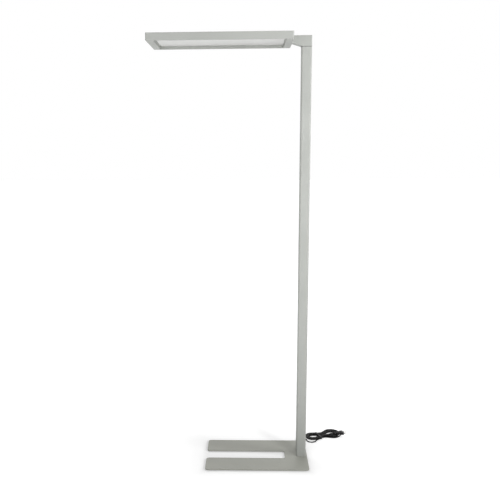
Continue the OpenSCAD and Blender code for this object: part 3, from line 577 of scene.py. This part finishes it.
def powder_coat(name, shades, metallic, edge_r, peel, shift=(0, 0, 0), gloss=0.35):
    """Satin powder coat with metal flake and slight orange peel, paler on its edges."""
    coat, shader = start_finish(name, shades[1], sum(coat_rough) / 2, metallic)
    nodes, links = coat.node_tree.nodes, coat.node_tree.links
    shader.inputs["Specular IOR Level"].default_value = gloss
    spread(coat, speckle(coat, coat_rough_size, 5, shift), *coat_rough, shader.inputs["Roughness"])
    flaked = nodes.new("ShaderNodeMix")
    flaked.data_type = "RGBA"
    flaked.blend_type = "MULTIPLY"
    flaked.inputs["Factor"].default_value = 1
    links.new(tint(coat, speckle(coat, coat_shade_size, 5, shift), *shades), flaked.inputs["A"])
    links.new(tint(coat, speckle(coat, flake_size, 1), flake_dark, flake_light), flaked.inputs["B"])
    edge = texture_skin(coat, shader, speckle(coat, peel_size, 2), peel, edge_r)
    flat = nodes.new("ShaderNodeNewGeometry")
    facing = nodes.new("ShaderNodeVectorMath")
    facing.operation = "DOT_PRODUCT"
    links.new(edge.outputs["Normal"], facing.inputs[0])
    links.new(flat.outputs["Normal"], facing.inputs[1])
    rim = nodes.new("ShaderNodeMapRange")
    rim.inputs["From Min"].default_value = flat_cosine
    rim.inputs["From Max"].default_value = worn_cosine
    rim.inputs["To Min"].default_value = 0
    rim.inputs["To Max"].default_value = worn_share
    links.new(facing.outputs["Value"], rim.inputs["Value"])
    worn = nodes.new("ShaderNodeMix")
    worn.data_type = "RGBA"
    links.new(rim.outputs["Result"], worn.inputs["Factor"])
    links.new(flaked.outputs["Result"], worn.inputs["A"])
    worn.inputs["B"].default_value = worn_colour
    links.new(worn.outputs["Result"], shader.inputs["Base Color"])
    return coat


steel_coat = powder_coat("silver_coat_on_steel", ((0.414, 0.418, 0.377), (0.449, 0.453, 0.408)),
                         metallic=0.05, edge_r=0.0012, peel=0.00003, gloss=0.25)
finish_solid("base_plate", steel_coat)

pad_rubber, shader = worked_finish(
    "black_pad_rubber", shades=((0.014, 0.014, 0.014), (0.035, 0.034, 0.033)), shade_spots=(0.006, 4),
    roughness=(0.72, 0.92), rough_spots=(0.01, 3), grain=(0.0008, 2), depth=0.0001, edge_r=0.0005)
finish_solid("foot_pads", pad_rubber)

zinc, shader = worked_finish(
    "zinc_plated_steel", shades=((0.42, 0.43, 0.44), (0.58, 0.59, 0.60)), shade_spots=(0.005, 4),
    roughness=(0.26, 0.46), rough_spots=(0.003, 4), grain=(0.0005, 2), depth=0.00002, edge_r=0.0003,
    metallic=1)
finish_solid("base_screws", zinc)


# ---- Post
# A 45 mm square aluminium extrusion with rounded edges, screw ports in its corners and
# ribs for the driver's sheet, coated silver-grey. A dark line of painted shadow at its joint
# with the neck stands in for the shade of a groove there.
silver_shades = ((0.425, 0.437, 0.413), (0.465, 0.477, 0.452))
# Near-black colour of the painted shadow along the joint of post and neck
joint_shadow_colour = (0.03, 0.03, 0.03, 1)
post_coat = powder_coat("silver_coat_on_extrusion", silver_shades, metallic=0.15, edge_r=0.0008,
                        peel=0.00001, shift=(3.1, 0.7, 0))


def near_place(finish, axis, place, reach):
    """1 within that reach of a place along an axis, else 0."""
    nodes, links = finish.node_tree.nodes, finish.node_tree.links
    where = nodes.new("ShaderNodeTexCoord")
    parts = nodes.new("ShaderNodeSeparateXYZ")
    links.new(where.outputs["Object"], parts.inputs["Vector"])
    near = nodes.new("ShaderNodeMath")
    near.operation = "COMPARE"
    near.inputs[1].default_value = place
    near.inputs[2].default_value = reach
    links.new(parts.outputs[axis], near.inputs[0])
    return near.outputs["Value"]


def paint_joint_shadow(coat, joint_z, reach):
    """Painted shadow of a narrow joint: a dark line as far as that from its height."""
    nodes, links = coat.node_tree.nodes, coat.node_tree.links
    shader = nodes["Principled BSDF"]
    painted = shader.inputs["Base Color"].links[0].from_socket
    line = nodes.new("ShaderNodeMix")
    line.data_type = "RGBA"
    links.new(near_place(coat, "Z", joint_z, reach), line.inputs["Factor"])
    links.new(painted, line.inputs["A"])
    line.inputs["B"].default_value = joint_shadow_colour
    links.new(line.outputs["Result"], shader.inputs["Base Color"])


post_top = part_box("post_profile")[1].z
# Painted shadow: a dark band at the top of the post, where the neck sits on it
paint_joint_shadow(post_coat, post_top, 0.0010)
finish_solid("post_profile", post_coat)


# ---- Driver, its sheet and the inner leads
# The driver is a slim white plastic case with dark terminal ends, screwed to a mill-finish
# aluminium sheet that slides between the post's ribs. White-sheathed leads run from it.
rolled = (0.0009, 3, (0, 0, 0), (1, 1, 0.03))
mill_aluminium, shader = worked_finish(
    "mill_aluminium", shades=((0.56, 0.57, 0.58), (0.66, 0.67, 0.68)), shade_spots=(0.03, 5),
    roughness=(0.30, 0.48), rough_spots=rolled, grain=rolled, depth=0.00001, edge_r=0.0004, metallic=1)
finish_solid("driver_carrier", mill_aluminium)
finish_solid("led_tray", mill_aluminium)


def split_finish(name, axis, edges, inside, outside, roughness):
    """Two pairs of shades on one solid, one between two places along an axis, one outside."""
    finish, shader = start_finish(name, inside[0], roughness)
    nodes, links = finish.node_tree.nodes, finish.node_tree.links
    low, high = edges
    mottle = speckle(finish, 0.004, 3)
    choice = nodes.new("ShaderNodeMix")
    choice.data_type = "RGBA"
    links.new(near_place(finish, axis, (low + high) / 2, (high - low) / 2), choice.inputs["Factor"])
    links.new(tint(finish, mottle, *outside), choice.inputs["A"])
    links.new(tint(finish, mottle, *inside), choice.inputs["B"])
    links.new(choice.outputs["Result"], shader.inputs["Base Color"])
    spread(finish, speckle(finish, 0.002, 3), roughness * 0.85, roughness * 1.2,
           shader.inputs["Roughness"])
    texture_skin(finish, shader, speckle(finish, 0.0007, 2), depth=0.00003, edge_r=0.0004)
    return finish


white_plastic = ((0.66, 0.66, 0.63), (0.74, 0.74, 0.71))
dark_plastic = ((0.030, 0.030, 0.032), (0.045, 0.045, 0.047))
driver_end_l = 0.024
driver_low, driver_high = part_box("driver")
finish_solid("driver", split_finish(
    "driver_case", "Z", (driver_low.z + driver_end_l, driver_high.z - driver_end_l),
    inside=white_plastic, outside=dark_plastic, roughness=0.5))

sheath, shader = worked_finish(
    "white_lead_sheath", shades=((0.64, 0.64, 0.62), (0.74, 0.74, 0.72)), shade_spots=(0.02, 3),
    roughness=(0.36, 0.50), rough_spots=(0.005, 3), grain=(0.001, 2), depth=0.00003, edge_r=0.0003)
finish_solid("inner_leads", sheath)


# ---- Push button
# On the back of the post: a nickel-plated bezel with its nut, a dished brushed-aluminium
# cap on a coil spring, and a black switch body with two nickel tabs behind it.
finish_solid("button_bezel", nickel)
finish_solid("button_nut", zinc)
finish_solid("button_spring", zinc)

turned = (0.0006, 3, (0, 0, 0), (1, 1, 0.05))
brushed_cap, shader = worked_finish(
    "brushed_aluminium", shades=((0.56, 0.57, 0.58), (0.70, 0.71, 0.72)), shade_spots=turned,
    roughness=(0.22, 0.42), rough_spots=turned, grain=turned, depth=0.00001, edge_r=0.0004, metallic=1)
finish_solid("button_cap", brushed_cap)

tab_l = 0.005
past_case = 0.001
nickel_shades = ((0.52, 0.50, 0.46), (0.62, 0.60, 0.56))
switch_low, switch_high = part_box("switch_body")
finish_solid("switch_body", split_finish(
    "switch_case", "Y", (switch_low.y + tab_l, switch_high.y + past_case),
    inside=dark_plastic, outside=nickel_shades, roughness=0.4))


# ---- Neck
# An aluminium casting with a spigot in the post, a slanted underside and a fillet, coated
# silver-grey. Set screws hold it in the post, and four screws join it to the head.
cast_coat = powder_coat("silver_coat_on_casting", silver_shades, metallic=0.15, edge_r=0.001,
                        peel=0.00005, shift=(1.7, 2.3, 0))
# Painted shadow: a dark band at the foot of the neck, where it sits on the post
paint_joint_shadow(cast_coat, post_top, 0.0007)
finish_solid("neck_casting", cast_coat)
finish_solid("neck_set_screws", zinc)
finish_solid("head_screws", zinc)


# ---- Head frame
# Two long extruded rails and two cast end pieces, screwed together at the corners and
# coated silver-grey. A recess below them is open to the lower diffuser.
rail_coat = powder_coat("silver_coat_on_rails", silver_shades, metallic=0.15, edge_r=0.0008,
                        peel=0.00001, shift=(0.4, 4.2, 0))
for name in ("front_rail", "back_rail", "left_end_cap", "right_end_cap"):
    finish_solid(name, rail_coat)
finish_solid("end_cap_screws", zinc)


# ---- Lower diffuser
# A 3 mm sheet of satin opal acrylic, cut to size, that lies on the ledges round the recess
# and spreads the light of the guide above it.
opal, shader = worked_finish(
    "satin_opal_acrylic", shades=((0.76, 0.76, 0.745), (0.82, 0.82, 0.80)), shade_spots=(0.12, 3),
    roughness=(0.34, 0.44), rough_spots=(0.03, 3), grain=(0.0009, 2), depth=0.00004, edge_r=0.0006)
shader.inputs["Subsurface Weight"].default_value = 0.25
shader.inputs["Subsurface Radius"].default_value = (0.003, 0.003, 0.003)
finish_solid("lower_diffuser", opal)


# ---- Light guide, reflector and edge strips
# Clear acrylic that the edge LEDs shine into from both long sides, with a white film on
# top that sends their light down.
clear_sheet, shader = start_finish("clear_acrylic", (0.96, 0.98, 0.97), 0.05)
shader.inputs["Transmission Weight"].default_value = 1
shader.inputs["IOR"].default_value = 1.49
spread(clear_sheet, speckle(clear_sheet, 0.04, 4), 0.02, 0.09, shader.inputs["Roughness"])
texture_skin(clear_sheet, shader, speckle(clear_sheet, 0.05, 2), depth=0.000003, edge_r=0.0006)
finish_solid("light_guide", clear_sheet)
finish_solid("upper_cover", clear_sheet)

film, shader = worked_finish(
    "white_reflector_film", shades=((0.79, 0.79, 0.79), (0.84, 0.84, 0.84)), shade_spots=(0.05, 3),
    roughness=(0.52, 0.70), rough_spots=(0.01, 3), grain=(0.002, 2), depth=0.00002, edge_r=0.0003)
finish_solid("reflector_sheet", film)

board_white = ((0.70, 0.71, 0.68), (0.78, 0.79, 0.76))
phosphor = ((0.72, 0.55, 0.16), (0.82, 0.66, 0.24))
board_t = 0.0012
rail_wall = 0.002
past_face = 0.00001
frame_low, frame_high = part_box("front_rail")[0].y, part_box("back_rail")[1].y
led_edges = (frame_low + rail_wall + board_t - past_face,
             frame_high - rail_wall - board_t + past_face)
finish_solid("edge_led_strips", split_finish(
    "edge_strip_boards", "Y", led_edges, inside=phosphor, outside=board_white, roughness=0.45))


# ---- Upper LED boards, their tray and the clear cover
# Three white boards with square LEDs lie on an aluminium sheet, under a clear acrylic
# cover, and light the ceiling.
boards_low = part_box("uplight_boards")[0].z
finish_solid("uplight_boards", split_finish(
    "upper_led_boards", "Z", (boards_low - board_t, boards_low + board_t + past_face),
    inside=board_white, outside=phosphor, roughness=0.45))


# ---- Terminal block
# A moulded block of white nylon beside the neck, where the leads from the post are joined
# to those of the head.
nylon, shader = worked_finish(
    "white_nylon", shades=((0.68, 0.68, 0.65), (0.76, 0.76, 0.73)), shade_spots=(0.006, 3),
    roughness=(0.42, 0.58), rough_spots=(0.003, 3), grain=(0.0008, 2), depth=0.00003, edge_r=0.0004)
finish_solid("terminal_block", nylon)


# ---- Floor, background and light
# A plain white floor that runs into a white background, where it glows more the further it
# is from the base plate, so that only the lamp's own shadow shows. A key light stands in
# front on the right, with softer lights in front, at both sides, above the back and low down.
floor_half = 30
floor_mesh = bpy.data.meshes.new("floor")
floor_mesh.from_pydata([(x * floor_half, y * floor_half, 0)
                        for x, y in ((-1, -1), (1, -1), (1, 1), (-1, 1))], [], [(0, 1, 2, 3)])
floor = bpy.data.objects.new("floor", floor_mesh)
bpy.context.scene.collection.objects.link(floor)

white_floor, shader = start_finish("white_floor", (0.80, 0.80, 0.80), 0.9)
shader.inputs["Specular IOR Level"].default_value = 0.1
nodes, links = white_floor.node_tree.nodes, white_floor.node_tree.links


def seen_directly(nodes, links):
    """1 for camera, glossy and transmission rays, which see the white background."""
    rays = nodes.new("ShaderNodeLightPath")
    total = rays.outputs["Is Camera Ray"]
    for name in ("Is Glossy Ray", "Is Transmission Ray"):
        both = nodes.new("ShaderNodeMath")
        both.operation = "MAXIMUM"
        links.new(total, both.inputs[0])
        links.new(rays.outputs[name], both.inputs[1])
        total = both.outputs["Value"]
    return total


# Distances from the base plate, and how strongly the floor glows there
glow_out = (0, 0.03, 0.25, 3.0)
glow_level = (0.29, 0.44, 0.62, 1)
plate_low, plate_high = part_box("base_plate")
place = nodes.new("ShaderNodeTexCoord")
away = place.outputs["Object"]
for operation, amount in (("SUBTRACT", (plate_low + plate_high) / 2), ("ABSOLUTE", None),
                          ("SUBTRACT", (plate_high - plate_low) / 2), ("MAXIMUM", (0, 0, 0))):
    step = nodes.new("ShaderNodeVectorMath")
    step.operation = operation
    links.new(away, step.inputs[0])
    if amount is not None:
        step.inputs[1].default_value = amount
    away = step.outputs["Vector"]
distance = nodes.new("ShaderNodeVectorMath")
distance.operation = "LENGTH"
links.new(away, distance.inputs[0])
share = nodes.new("ShaderNodeMath")
share.operation = "DIVIDE"
share.inputs[1].default_value = glow_out[-1]
links.new(distance.outputs["Value"], share.inputs[0])
paler = nodes.new("ShaderNodeValToRGB")
stops = paler.color_ramp.elements
for out in glow_out[1:-1]:
    stops.new(out / glow_out[-1])
for stop, level in zip(stops, glow_level):
    stop.color = (level, level, level, 1)
links.new(share.outputs["Value"], paler.inputs["Fac"])
glow = nodes.new("ShaderNodeMath")
glow.operation = "MULTIPLY"
links.new(seen_directly(nodes, links), glow.inputs[0])
links.new(paler.outputs["Color"], glow.inputs[1])
shader.inputs["Emission Color"].default_value = (1, 1, 1, 1)
links.new(glow.outputs["Value"], shader.inputs["Emission Strength"])
floor_mesh.materials.append(white_floor)

sky_on_lamp = 0.10
sky_seen = 1.0
world = bpy.data.worlds.new("white_background")
world.use_nodes = True
nodes, links = world.node_tree.nodes, world.node_tree.links
sky = nodes["Background"]
sky.inputs["Color"].default_value = (1, 1, 1, 1)
level_of_sky = nodes.new("ShaderNodeMapRange")
level_of_sky.inputs["To Min"].default_value = sky_on_lamp
level_of_sky.inputs["To Max"].default_value = sky_seen
links.new(seen_directly(nodes, links), level_of_sky.inputs["Value"])
links.new(level_of_sky.outputs["Result"], sky.inputs["Strength"])
bpy.context.scene.world = world


def soft_light(name, at, towards, size, watts):
    """Rectangular light, out of the camera's sight."""
    lamp = bpy.data.lights.new(name, "AREA")
    lamp.shape = "RECTANGLE"
    lamp.size, lamp.size_y = size
    lamp.energy = watts
    holder = bpy.data.objects.new(name, lamp)
    holder.location = at
    holder.rotation_mode = "QUATERNION"
    holder.rotation_quaternion = (Vector(towards) - Vector(at)).to_track_quat("-Z", "Y")
    holder.visible_camera = False
    bpy.context.scene.collection.objects.link(holder)


# Each light: its place, what it shines at, its width and height, and its watts
soft_light("key_light", (2.0, -3.4, 2.6), (-0.1, 0, 0.8), (0.6, 0.6), 60)
soft_light("front_light", (0.2, -2.6, 1.45), (-0.3, 0, 1.65), (1.4, 0.9), 12)
soft_light("left_light", (-1.5, -2.5, 1.7), (-0.2, 0, 1.5), (1.4, 1.0), 14)
soft_light("right_light", (1.8, -0.6, 1.6), (-0.3, 0, 1.9), (0.5, 1.0), 18)
soft_light("back_light", (-0.7, 2.1, 3.3), (-0.1, 0, 0.6), (3.2, 2.4), 44)
soft_light("front_bounce", (-0.4, -1.7, 0.05), (-0.4, -1.7, 1.0), (2.0, 1.0), 13)
soft_light("left_bounce", (-1.5, 0, 0.05), (-1.5, 0, 1.0), (1.4, 2.0), 9)

bpy.context.scene.view_settings.view_transform = "Standard"
